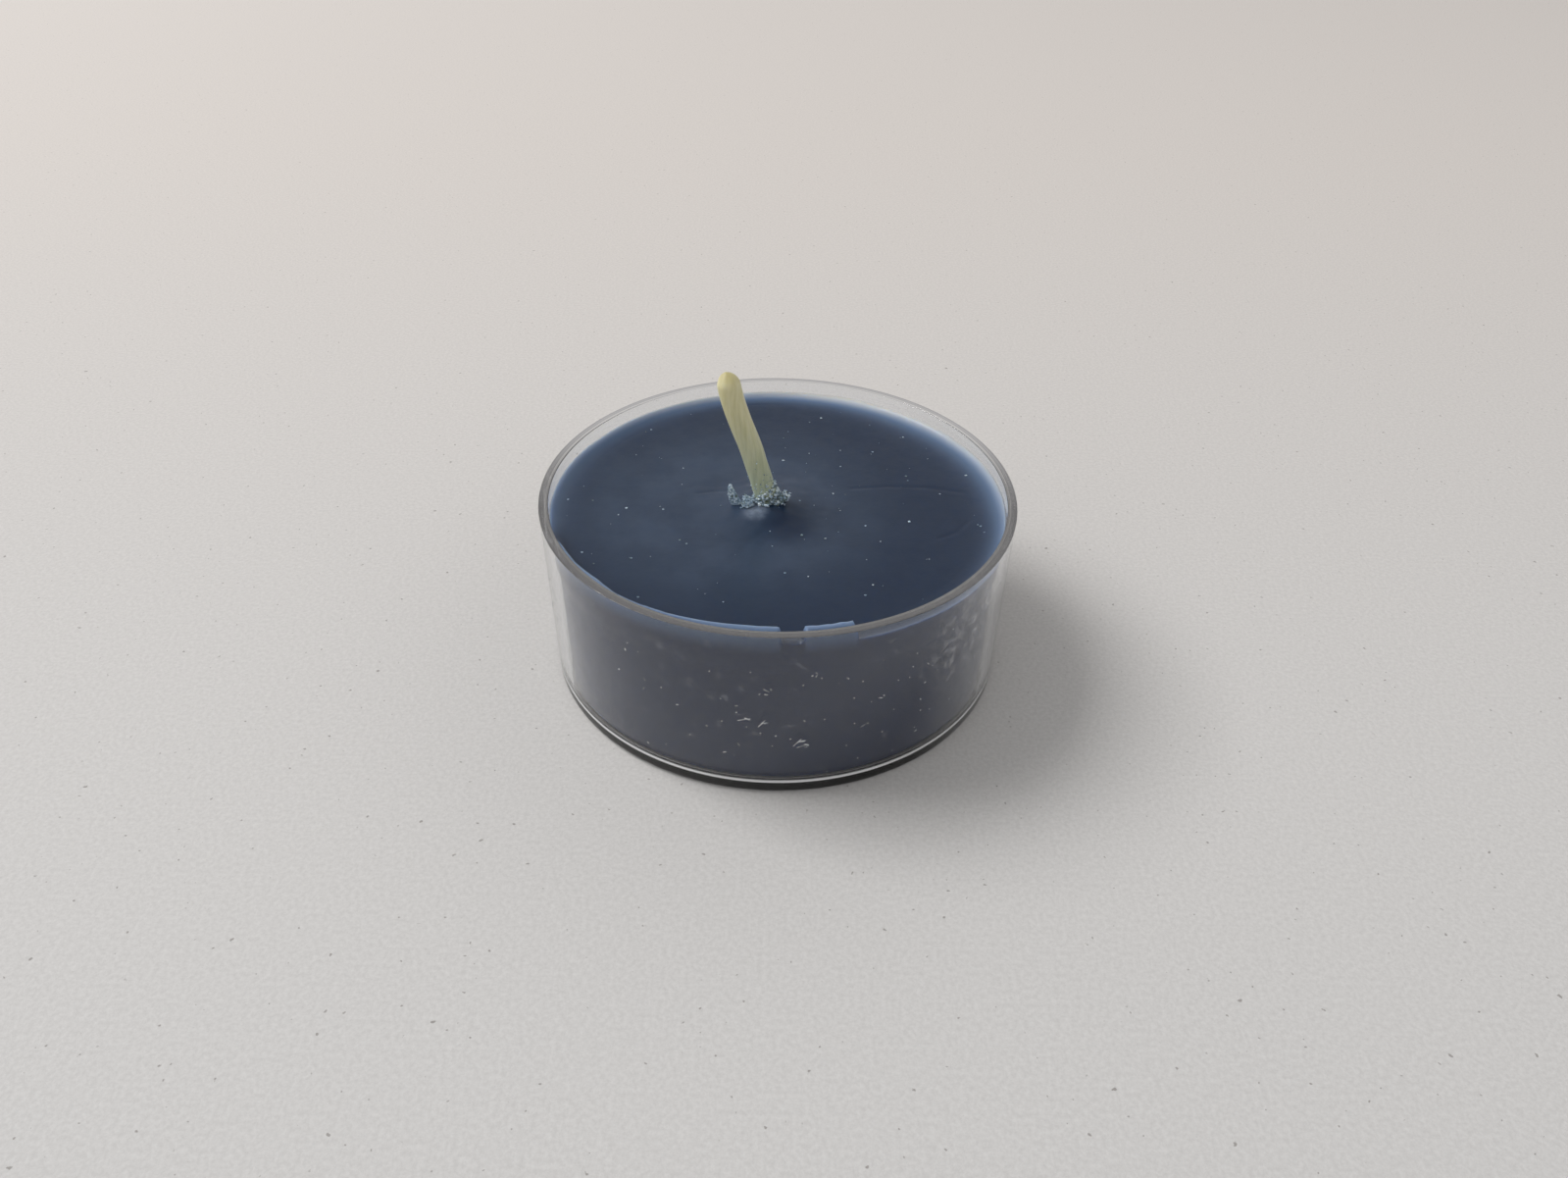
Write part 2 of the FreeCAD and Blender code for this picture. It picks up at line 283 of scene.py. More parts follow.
def cup_profile():
    """Radius and height all round the cup's section, from under its middle to above it."""
    recess = wall_radius(0) - foot_corner - foot_ring_width
    floor_top = floor_level - film_gap
    shoulder = cup_height - rim_rounding
    gate_level = underside_recess - gate_mark_height
    support = 0.06
    points = [(gate_mark_radius / 2, gate_level), (gate_mark_radius, gate_level),
              (gate_mark_radius + support, underside_recess)]
    ring_inside = recess - underside_recess
    points += run((gate_mark_radius + 2 * support, underside_recess), (ring_inside, underside_recess), 6)
    points += [(ring_inside, underside_recess), (recess, 0), (recess + support, 0)]
    points += [(wall_radius(0) - foot_corner - support, 0)]
    points += arc(wall_radius(foot_corner) - foot_corner, foot_corner, foot_corner, -90, 0, 10)
    wall_foot = (wall_radius(foot_corner), foot_corner + support)
    wall_top = (wall_radius(shoulder), shoulder - support)
    points += run(wall_foot, wall_top, 16)
    points += [wall_top]
    points += arc(rim_radius - rim_rounding, shoulder, rim_rounding, 0, 90, 5)
    points += [(rim_radius - rim_rounding - support, cup_height)]
    points += [(cavity_radius(cup_height) + rim_rounding + support, cup_height)]
    points += arc(cavity_radius(cup_height) + rim_rounding, shoulder, rim_rounding, 90, 180, 5)
    corner = floor_top + inner_corner
    points += run((cavity_radius(shoulder), shoulder - support), (cavity_radius(corner), corner + support), 16)
    points += [(cavity_radius(corner), corner + support)]
    points += arc(cavity_radius(corner) - inner_corner, corner, inner_corner, 0, -90, 8)
    points += run((cavity_radius(corner) - inner_corner - support, floor_top), (0.5, floor_top), 8)
    return points


def make_cup():
    """Clear cup in one piece."""
    points, faces = ring_mesh(lathe(cup_profile(), cup_segments))
    cup = make_object("candle_cup", points, faces, clear_plastic())
    cup.data.materials.append(matt_rim())
    for face in cup.data.polygons:
        if face.center.z > (cup_height - 0.02) * MM:
            face.material_index = 1
    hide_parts("cup")


# Wick's centre line, used by the wax and the crumbs too

def wick_lean(height):
    """Lean of the wick at a height, in degrees from upright."""
    lean = 0.0
    for level, after in wick_bends:
        lean = mix(lean, after, smooth(level - wick_bend_reach, level + wick_bend_reach, height))
    return lean


def wick_line(top, step=0.05):
    """Middles of the wick from the cup's floor up to a height."""
    middle = Vector((wick_foot_x, wick_foot_y, floor_level))
    line = [middle]
    while line[-1].z < top:
        lean = math.radians(wick_lean(line[-1].z + step / 2))
        line.append(line[-1] + Vector((-step * math.tan(lean), 0, step)))
    return line


def wick_middle(height):
    """Middle of the wick at a height."""
    return wick_line(height)[-1]


# Wax

mound_middle = wick_middle(wax_level + mound_height)


def ripple_at(x, y):
    """Strength of the shrinkage ripples at a place on the wax's top."""
    spot = Vector((x, y))
    nearest = 9.0
    for line in (long_ripple, short_ripple):
        for start, end in zip(line, line[1:]):
            start, end = Vector(start), Vector(end)
            share = (spot - start).dot(end - start) / (end - start).length_squared
            foot = start.lerp(end, min(max(share, 0.0), 1.0))
            nearest = min(nearest, (spot - foot).length)
    return math.exp(-(nearest / ripple_half_width) ** 2)


def surface_level(x, y):
    """Level of the wax's top: its mound round the wick, slow waves and ripples."""
    reach = math.hypot(x - mound_middle.x, y - mound_middle.y)
    half = mound_height / 2
    rise = 0.0
    if reach < mound_shoulder:
        share = reach / mound_shoulder
        rise = mound_height - half * share + 4 * mound_bow * share * (1 - share)
    elif reach < mound_radius:
        share = (mound_radius - reach) / (mound_radius - mound_shoulder)
        rise = half * share - 4 * mound_bow * share * (1 - share)
    spread = (reach / mound_skirt_radius) ** 2
    rise += mound_skirt * spread * math.exp(1 - spread)
    wave = 0.05 * noise.noise(Vector((x * 0.16, y * 0.16, 2.0)))
    pucker = 0.10 * noise.noise(Vector((x * 0.9, y * 0.9, 7.0))) * math.exp(-reach / 3)
    return wax_level + rise + wave + pucker - ripple_depth * ripple_at(x, y)


def round_noise(angle, pace, seed):
    """Noise that closes on itself round the wax."""
    turn = math.radians(angle)
    return noise.noise(Vector((pace * math.cos(turn), pace * math.sin(turn), seed)))


def lip_at(angle):
    """Presence, thickness and share of the full height of the lip at an angle."""
    present = smooth(lip_start - 8, lip_start + 12, angle) * (1 - smooth(lip_end, lip_end + 0.4, angle))
    ragged = round_noise(angle, 20.0, 4.0)
    thickness = along(lip_thicknesses, angle) * (1 + 0.12 * ragged)
    share = smooth(lip_start - 2, lip_start + lip_feather, angle) - 0.04 * abs(ragged)
    off = abs(math.radians(angle - nick_angle)) * cavity_radius(cup_height)
    full = cup_height - lip_below_rim - wax_level
    nicked = 1 - (nick_depth / full) * (1 - smooth(nick_bottom_width / 2, nick_top_width / 2, off))
    return present, thickness, share * nicked


def meniscus_at(angle):
    """Height to which the wax climbs the wall at an angle, outside the lip."""
    back = (1 + math.cos(math.radians(angle - 60))) / 2
    return mix(meniscus_left, meniscus_back, back) * (1 + 0.15 * round_noise(angle, 5.0, 1.0))


def wax_section(angle):
    """Points of the wax at an angle, from its middle over the edge and down, each with its share of painted glow
    and painted highlight.
    """
    present, thickness, share = lip_at(angle)
    lip_foot = wax_level - lip_foot_depth
    gap_start = lip_foot - gap_growth
    wall = cavity_radius(lip_foot) - film_gap
    edge = cavity_radius(wax_level) - shrink_gap
    rim_spot = polar(edge, angle)
    level = surface_level(rim_spot.x, rim_spot.y)
    climb = meniscus_at(angle)
    crest = max(wax_level + share * (cup_height - lip_below_rim - wax_level), level + climb)
    face = wall - thickness
    # glow is a painted glow towards the wall and shine a painted highlight on the lip's crest, both for the
    # wax's base colour
    shine = lip_shine * share ** 2
    glow = along(glow_strengths, angle)
    reach = along(glow_reaches, angle)
    plain = []
    for step in range(9):
        radius = mix(edge - 1.3, wall - 0.03, step / 8)
        rise = climb * math.exp((radius - wall) / meniscus_reach)
        plain.append((radius, level + rise, glow * math.exp((radius - wall) / reach)))
    plain += [(wall, level + climb - 0.04, 0.45 * glow), (wall, level + climb - 0.15, 0.28 * glow)]
    plain += [(wall, level, 0.25 * glow), (wall, level - 0.05, 0.22 * glow), (wall, level - 0.1, 0.2 * glow)]
    plain += [(wall, lip_foot, 0.1 * glow), (edge, gap_start, 0.06)]
    lip = []
    for step in range(8):
        t = step / 8
        bend = ((face - lip_foot_reach, level), (face - 0.04, level + 0.04), (face, crest - 0.06))
        radius, height = ((1 - t) ** 2 * a + 2 * t * (1 - t) * b + t * t * c for a, b, c in zip(*bend))
        lip.append((radius, height, 0.5 * shine * smooth(0.5, 1.0, (height - level) / max(crest - level, 0.1))))
    lip += [(face, crest - 0.05, 0.9 * shine), (face + 0.05, crest, shine), (wall - 0.02, crest, 0.6 * shine),
            (wall, crest - 0.03, 0.9 * shine), (wall, crest - 0.5 * share, 0.8 * shine),
            (wall, wax_level - 0.1, 0.35 * shine), (wall, lip_foot, 0.03), (edge, gap_start, 0.06)]
    rim = [tuple(mix(x, y, present) for x, y in zip(a, b)) for a, b in zip(plain, lip)]
    points = []
    for step in range(1, top_rings):
        spot = polar(rim[0][0] * step / top_rings, angle)
        painted_glow = rim[0][2] * math.exp(-rim[0][0] * (1 - step / top_rings) / reach)
        points.append((Vector((spot.x, spot.y, surface_level(spot.x, spot.y))), painted_glow))
    side_top = gap_start - 0.2
    corner = floor_level + wax_corner
    low_edge = cavity_radius(corner) - shrink_gap
    side = run((cavity_radius(side_top) - shrink_gap, side_top), (low_edge, corner), 14)
    side += arc(low_edge - wax_corner, corner, wax_corner, 0, -90, 6)
    points += [(polar(radius, angle, height), painted_glow) for radius, height, painted_glow in rim]
    points += [(polar(radius, angle, height), 0.06) for radius, height in side]
    foot_room = ((foot_disc_radius, floor_level), (foot_disc_radius, foot_disc_top), (0.5, foot_disc_top))
    for radius, height in foot_room:
        points.append((polar(radius, angle, height) + Vector((wick_foot_x, wick_foot_y, 0)), 0.0))
    return points


def make_wax():
    """Cast wax with its mound, its lip and the room for the wick's foot."""
    sections = [wax_section(360 * index / wax_segments - 180) for index in range(wax_segments)]
    rings = list(zip(*sections))
    points, faces = ring_mesh([[point for point, painted_glow in ring] for ring in rings])
    wax = make_object("wax_body", points, faces, blue_wax())
    painted_edge_glow = [painted_glow for ring in rings for point, painted_glow in ring] + [0.0, 0.0]
    # Copy of the wax for its side, with less gloss and a lighter, bluer colour as painted light
    wax.data.materials.append(blue_wax("wax_side_painted_lighter", side_gloss, painted_lighter_side_blue))
    near_wall = (cavity_radius(wax_level - lip_foot_depth) - 2 * film_gap) * MM
    for face in wax.data.polygons:
        by_wall = math.hypot(face.center.x, face.center.y) > near_wall
        if by_wall or face.center.z < (wax_level - lip_foot_depth) * MM:
            face.material_index = 1
    # Painted glow and painted highlight at each point, lightening the wax's colour
    field = wax.data.attributes.new("painted_edge_glow", "FLOAT", "POINT")
    field.data.foreach_set("value", painted_edge_glow)
    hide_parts("wax")


# Wick

def make_wick():
    """Waxed wick with twisted strands and a slanted, rounded tip."""
    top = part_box("wick")[1].z / MM
    line = wick_line(top - tip_length)
    step = 3
    rings, fibres = [], []
    middles = [(point, 1.0, 0.0) for point in line[::step]]
    ahead = Vector((-math.tan(math.radians(wick_lean(top))), 0, 1)).normalized()
    for index in range(1, 12):
        turn = math.radians(90 * index / 12)
        middle = line[-1] + ahead * tip_length * math.sin(turn)
        middles.append((middle, math.cos(turn) ** tip_taper, index / 12))
    for middle, girth, tipped in middles:
        lean = math.radians(wick_lean(middle.z))
        ahead = Vector((-math.sin(lean), 0, math.cos(lean)))
        across = Vector((math.cos(lean), 0, math.sin(lean)))
        ring = []
        for column in range(wick_segments):
            turn = 2 * math.pi * column / wick_segments
            coil = turn - math.radians(wick_twist) * middle.z
            strand = abs(math.cos(coil * strand_count / 2)) - 1
            lump = noise.noise(Vector((math.cos(turn), math.sin(turn), middle.z * 0.45)))
            radius = wick_radius * girth * (0.975 + strand_relief * strand + 0.025 * lump)
            point = middle + across * radius * math.cos(turn) + Vector((0, radius * math.sin(turn), 0))
            point -= ahead * tip_slant * tipped ** 2 * (1 + math.cos(turn)) / 2 * girth
            ring.append(point)
            fibres.append((math.cos(coil), math.sin(coil), middle.z * 0.12))
        rings.append(ring)
    points, faces = ring_mesh(rings)
    wick = make_object("wick_cord", points, faces, waxed_wick())
    fibres += [(0, 0, floor_level * 0.12), (0, 0, top * 0.12)]
    field = wick.data.attributes.new("fibre", "FLOAT_VECTOR", "POINT")
    field.data.foreach_set("vector", [value for fibre in fibres for value in fibre])
    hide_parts("wick")


# Crumbs

def grain(size, place, chance, boxy=0.0, detail=2):
    """Points and faces of one rough grain of given length, width and height."""
    edit = bmesh.new()
    bmesh.ops.create_icosphere(edit, subdivisions=detail, radius=0.5)
    spin = Matrix.Rotation(chance.uniform(0, 2 * math.pi), 3, chance.choice("XYZ"))
    seed = Vector((chance.uniform(0, 50), chance.uniform(0, 50), chance.uniform(0, 50)))
    points = []
    for vertex in edit.verts:
        shape = vertex.co.copy()
        longest = max(abs(value) for value in shape)
        shape *= mix(1.0, 0.42 / longest, boxy)
        shape *= 1 + 0.55 * noise.noise(shape * 3.2 + seed)
        if not boxy:
            shape = spin @ shape
        points.append(Vector(a * b for a, b in zip(shape, size)) + place)
    faces = [tuple(vertex.index for vertex in face.verts) for face in edit.faces]
    edit.free()
    return points, faces


def make_grains(name, grains, tones, look):
    """Object of many grains, each with a tone of its own between dark at 0 and pale at 1."""
    points, faces, values = [], [], []
    for (more_points, more_faces), tone in zip(grains, tones):
        first = len(points)
        points += more_points
        faces += [tuple(first + index for index in face) for face in more_faces]
        values += [tone] * len(more_points)
    piece = make_object(name, points, faces, look, flat=True)
    piece.data.attributes.new("tone", "FLOAT", "POINT").data.foreach_set("value", values)
    return piece


def crust_rise(angle):
    """Height of the crust above the mound at an angle round the wick."""
    share = (1 + math.cos(math.radians(angle - crust_high_angle))) / 2
    return mix(crust_low_rise, crust_high_rise, share)


def make_crust(look):
    """Crumbs of wax stuck round the wick's foot, with finer ones above them."""
    chance = random.Random(5)
    grains = []
    for index in range(crumb_count):
        angle = index * GOLDEN_ANGLE
        share = chance.random()
        height = wax_level + mound_height - 0.25 + (crust_rise(angle) + 0.1) * share
        size = mix(0.4, 0.17, share) * chance.uniform(0.5, 1.2)
        middle = wick_middle(height)
        reach = wick_radius + 0.02 + (0.34 - 0.26 * share) * chance.random()
        place = middle + polar(reach, angle)
        shape = (size, size * chance.uniform(0.6, 1), size * chance.uniform(0.6, 1.1))
        boxy = chance.choice((0.0, 0.8))
        detail = chance.choice((1, 1, 2))
        grains.append(grain(shape, place, chance, boxy, detail))
    for index in range(fine_crumb_count):
        angle = chance.uniform(-175, 20)
        height = wax_level + mound_height + crust_rise(angle) + chance.random() ** 3 * 2.6
        size = chance.uniform(0.05, 0.13)
        place = wick_middle(height) + polar(wick_radius, angle)
        grains.append(grain((size, size, size), place, chance, detail=1))
    tones = [chance.choice((0.0, 0.1, 0.3, 0.6, 1.1)) for _ in grains]
    crust = make_grains("crumb_crust", grains, tones, look)
    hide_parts("wick_crust")


def make_chip(name, node, look, slant, seed, shape, shift, palest):
    """Rough chip of wax in the place of a node, or a little beside it."""
    chance = random.Random(seed)
    low, high = (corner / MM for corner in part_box(node))
    size = Vector(a * b for a, b in zip(high - low, shape))
    middle = (low + high) / 2 + Vector(shift)
    grains = [grain(size * 0.8, middle, chance, boxy=0.3, detail=4)]
    for _ in range(80):
        share = Vector((chance.uniform(-0.48, 0.48), chance.uniform(-0.5, 0.2), chance.uniform(-0.48, 0.48)))
        spot = middle + Vector(a * b for a, b in zip(share, size))
        grit = chance.uniform(0.1, 0.3)
        grains.append(grain((grit, grit * 0.7, grit * chance.uniform(0.4, 1.2)), spot, chance, detail=1))
    lean = Matrix.Rotation(math.radians(slant), 3, "Y")
    grains = [([lean @ (point - middle) + middle for point in points], faces) for points, faces in grains]
    tones = [chance.uniform(0.1, palest) for _ in grains]
    chip = make_grains(name, grains, tones, look)
    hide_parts(node)


def make_curl(look):
    """Curled shaving, narrow at its tip and rough all over."""
    low, high = (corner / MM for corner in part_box("wax_curl"))
    width = high.x - low.x
    depth = (high.y - low.y) / 2
    rings = []
    steps = 40
    for index in range(steps + 1):
        share = index / steps
        x = mix(high.x - 0.15 * width, low.x + 0.1 * width, math.sin(share * math.pi / 2) ** 1.1)
        z = mix(low.z + 0.05, high.z + curl_growth, 1 - math.cos(share * math.pi / 2) ** 1.15)
        half = 0.44 * math.sin(math.pi * mix(0.34, 0.96, share)) ** 0.7
        slope = math.radians(mix(45, -8, share))
        across = Vector((math.cos(slope), 0, math.sin(slope)))
        ring = []
        for column in range(20):
            turn = 2 * math.pi * column / 20
            rough = 1 + 0.3 * noise.noise(Vector((math.cos(turn) * 2, math.sin(turn) * 2, share * 14)))
            rough += 0.16 * noise.noise(Vector((math.cos(turn) * 6, math.sin(turn) * 6, share * 40)))
            point = Vector((x, (low.y + high.y) / 2, z)) + across * half * rough * math.cos(turn)
            ring.append(point + Vector((0, depth * 0.9 * min(half / 0.2, 1) * rough * math.sin(turn), 0)))
        rings.append(ring)
    points, faces = ring_mesh(rings)
    curl = make_object("curled_shaving", points, faces, look, flat=True)
    tones = [0.45 + 0.7 * noise.noise(Vector(point) * 5) for point in points]
    curl.data.attributes.new("tone", "FLOAT", "POINT").data.foreach_set("value", tones)
    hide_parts("wax_curl")


def make_specks(look):
    """Dust and fine crumbs strewn over the wax."""
    chance = random.Random(11)
    grains = []
    for index in range(speck_count):
        spot = polar(speck_reach * math.sqrt(chance.random()), chance.uniform(-180, 180))
        spot.z = surface_level(spot.x, spot.y) + 0.01
        size = 0.05 + 0.2 * chance.random() ** 2.5
        grains.append(grain((size, size * chance.uniform(0.5, 1), size * 0.5), spot, chance, detail=1))
    tones = [chance.random() for _ in grains]
    make_grains("dust_specks", grains, tones, look)


def wall_fleck(angle, height, size, slant, chance):
    """Points and faces of a flat fleck on the outside of the cup's wall."""
    points, faces = grain(size, Vector(), chance)
    turn = Matrix.Rotation(math.radians(angle + 90), 3, "Z") @ Matrix.Rotation(-math.radians(slant), 3, "Y")
    place = polar(wall_radius(height), angle, height)
    return [turn @ point + place for point in points], faces


def make_flecks():
    """Flecks and short scratches on the outside of the cup's wall."""
    chance = random.Random(21)
    grains = []
    for angle, height, length, slant in wall_scratches:
        grains.append(wall_fleck(angle, height, (length, 0.02, 0.09), slant, chance))
        grains.append(wall_fleck(angle + 1, height + 0.1, (length / 2, 0.02, 0.14), slant - 40, chance))
    for index in range(fleck_count):
        angle = chance.triangular(-180, 0, -75)
        height = mix(1.5, 12.5, chance.random())
        length = 0.1 + 0.3 * chance.random() ** 4
        grains.append(wall_fleck(angle, height, (length, 0.02, 0.09), chance.uniform(-80, 80), chance))
    for index in range(left_fleck_count):
        angle = chance.uniform(-176, -150)
        length = 0.1 + 0.5 * chance.random() ** 3
        height = mix(2.5, 12.0, chance.random())
        grains.append(wall_fleck(angle, height, (length, 0.02, 0.05), chance.uniform(50, 130), chance))
    tones = [chance.random() for _ in grains]
    make_grains("wall_flecks", grains, tones, scuffed_plastic())


# Materials

def material(name):
    """New material with its Principled shader."""
    made = bpy.data.materials.new(name)
    made.use_nodes = True
    return made, made.node_tree.nodes, made.node_tree.links, made.node_tree.nodes["Principled BSDF"]


def place_in_mm(nodes, links):
    """Socket with the place on the object in millimetres."""
    place = nodes.new("ShaderNodeTexCoord")
    scale = nodes.new("ShaderNodeVectorMath")
    scale.operation = "SCALE"
    scale.inputs["Scale"].default_value = 1 / MM
    links.new(place.outputs["Object"], scale.inputs[0])
    return scale.outputs[0]


def noise_field(nodes, links, place, scale, detail=4.0, roughness=0.5):
    """Socket with a noise value at a place."""
    field = nodes.new("ShaderNodeTexNoise")
    field.inputs["Scale"].default_value = scale
    field.inputs["Detail"].default_value = detail
    field.inputs["Roughness"].default_value = roughness
    links.new(place, field.inputs["Vector"])
    return field.outputs["Fac"]


def math_node(nodes, links, operation, *values):
    """Socket with the result of a sum on sockets or numbers."""
    node = nodes.new("ShaderNodeMath")
    node.operation = operation
    for index, value in enumerate(values):
        if isinstance(value, (int, float)):
            node.inputs[index].default_value = value
        else:
            links.new(value, node.inputs[index])
    return node.outputs[0]


def ranged(nodes, links, value, low, high, to_low=0.0, to_high=1.0):
    """Socket with a value brought from one range to another."""
    node = nodes.new("ShaderNodeMapRange")
    node.interpolation_type = "SMOOTHSTEP"
    links.new(value, node.inputs["Value"])
    for name, number in (("From Min", low), ("From Max", high), ("To Min", to_low), ("To Max", to_high)):
        node.inputs[name].default_value = number
    return node.outputs["Result"]


def mixed(nodes, links, share, one, other):
    """Socket with a mix of two colours."""
    node = nodes.new("ShaderNodeMix")
    node.data_type = "RGBA"
    links.new(share, node.inputs["Factor"])
    sockets = [socket for socket in node.inputs if socket.type == "RGBA"]
    for socket, value in zip(sockets, (one, other)):
        if isinstance(value, tuple):
            socket.default_value = value
        else:
            links.new(value, socket)
    return next(socket for socket in node.outputs if socket.type == "RGBA")


def bump(nodes, links, shader, height, distance, strength=1.0):
    """Relief on a shader from a height socket, distance in millimetres."""
    node = nodes.new("ShaderNodeBump")
    node.inputs["Distance"].default_value = distance * MM
    node.inputs["Strength"].default_value = strength
    links.new(height, node.inputs["Height"])
    links.new(node.outputs["Normal"], shader.inputs["Normal"])


def clear_plastic():
    """Clear moulded plastic, smeared and scuffed on its wall, hazier on its right side with painted light, and
    milky in a band above its foot as a painted highlight.
    """
    made, nodes, links, shader = material("clear_plastic")
    shader.inputs["Base Color"].default_value = (0.97, 0.985, 1.0, 1)
    shader.inputs["IOR"].default_value = 1.5
    shader.inputs["Transmission Weight"].default_value = 1.0
    place = place_in_mm(nodes, links)
    parts = nodes.new("ShaderNodeSeparateXYZ")
    links.new(place, parts.inputs[0])
    across = math_node(nodes, links, "MULTIPLY", parts.outputs["X"], parts.outputs["X"])
    away = math_node(nodes, links, "MULTIPLY", parts.outputs["Y"], parts.outputs["Y"])
    radius = math_node(nodes, links, "SQRT", math_node(nodes, links, "ADD", across, away))
    outside = ranged(nodes, links, radius, rim_radius - foot_draw_in - 0.3, rim_radius - foot_draw_in - 0.2)
    above_foot = ranged(nodes, links, parts.outputs["Z"], painted_glint_top, painted_glint_top + 0.6)
    # Painted highlight: a milky band just above the foot
    glint_start = ranged(nodes, links, parts.outputs["Z"], painted_glint_low - 0.03, painted_glint_low + 0.03)
    glint_end = ranged(nodes, links, parts.outputs["Z"], painted_glint_low + 0.15, painted_glint_top, 0.8, 0.0)
    line = math_node(nodes, links, "MULTIPLY", glint_start, glint_end)
    smears = ranged(nodes, links, noise_field(nodes, links, place, 0.9, 5.0, 0.6), 0.58, 0.8, 0.0, 0.14)
    cloud = nodes.new("ShaderNodeVectorMath")
    cloud.operation = "DISTANCE"
    cloud.inputs[1].default_value = polar(wall_radius(cup_height), cloud_angle, cloud_height)
    links.new(place, cloud.inputs[0])
    mottle = ranged(nodes, links, noise_field(nodes, links, place, 1.1, 6.0, 0.7), 0.44, 0.8, 0.0, 0.4)
    near = ranged(nodes, links, cloud.outputs["Value"], 6.5, 2.0)
    smears = math_node(nodes, links, "MAXIMUM", smears, math_node(nodes, links, "MULTIPLY", mottle, near))
    front = ranged(nodes, links, parts.outputs["Y"], 3.0, -5.0)
    smears = math_node(nodes, links, "MULTIPLY", smears, math_node(nodes, links, "MULTIPLY", above_foot, front))
    # Haze and painted light on the cup's right side, standing in for the paper seen through the wall
    right_haze_and_painted_light = ranged(nodes, links, parts.outputs["X"], 10.0, 18.5, 0.01, right_haze_and_light_share)
    veil_and_painted_light = math_node(nodes, links, "ADD", smears, right_haze_and_painted_light)
    haze_and_painted_light = math_node(nodes, links, "MULTIPLY", math_node(nodes, links, "MAXIMUM", line, veil_and_painted_light), outside)
    links.new(math_node(nodes, links, "SUBTRACT", 1.0, haze_and_painted_light), shader.inputs["Transmission Weight"])
    scuffs = ranged(nodes, links, noise_field(nodes, links, place, 0.55, 8.0, 0.7), 0.6, 0.8, 0.0, 0.16)
    below_rim = ranged(nodes, links, parts.outputs["Z"], cup_height - 1.2, cup_height - 0.6, 1.0, 0.0)
    scuffed_band = math_node(nodes, links, "MULTIPLY", above_foot, below_rim)
    links.new(math_node(nodes, links, "MULTIPLY", scuffs, scuffed_band), shader.inputs["Roughness"])
    return made


def matt_rim():
    """Top face of the rim, softly matt, with lighter and darker rings all round, and milkier towards the back as
    painted light.
    """
    made, nodes, links, shader = material("matt_rim")
    shader.inputs["IOR"].default_value = 1.5
    shader.inputs["Roughness"].default_value = 0.12
    place = place_in_mm(nodes, links)
    parts = nodes.new("ShaderNodeSeparateXYZ")
    links.new(place, parts.inputs[0])
    shader.inputs["Transmission Weight"].default_value = 0.8
    # Painted light: the rim turns milkier towards the back
    clear = ranged(nodes, links, parts.outputs["Y"], -4.0, 12.0, 0.82, 0.4)
    links.new(clear, shader.inputs["Transmission Weight"])
    flat = nodes.new("ShaderNodeVectorMath")
    flat.operation = "LENGTH"
    links.new(place, flat.inputs[0])
    lines = noise_field(nodes, links, flat.outputs["Value"], 6.0, 3.0, 0.6)
    ring_share = ranged(nodes, links, lines, 0.35, 0.65)
    tint = mixed(nodes, links, ring_share, srgb(186, 185, 188), srgb(255, 253, 251))
    links.new(tint, shader.inputs["Base Color"])
    return made


def scuffed_plastic():
    """Whitened plastic and dust."""
    made, nodes, links, shader = material("scuffed_plastic")
    place = place_in_mm(nodes, links)
    tint = ranged(nodes, links, noise_field(nodes, links, place, 1.5, 2.0), 0.35, 0.65)
    links.new(mixed(nodes, links, tint, srgb(114, 120, 128), srgb(204, 208, 212)), shader.inputs["Base Color"])
    shader.inputs["Roughness"].default_value = 0.6
    return made


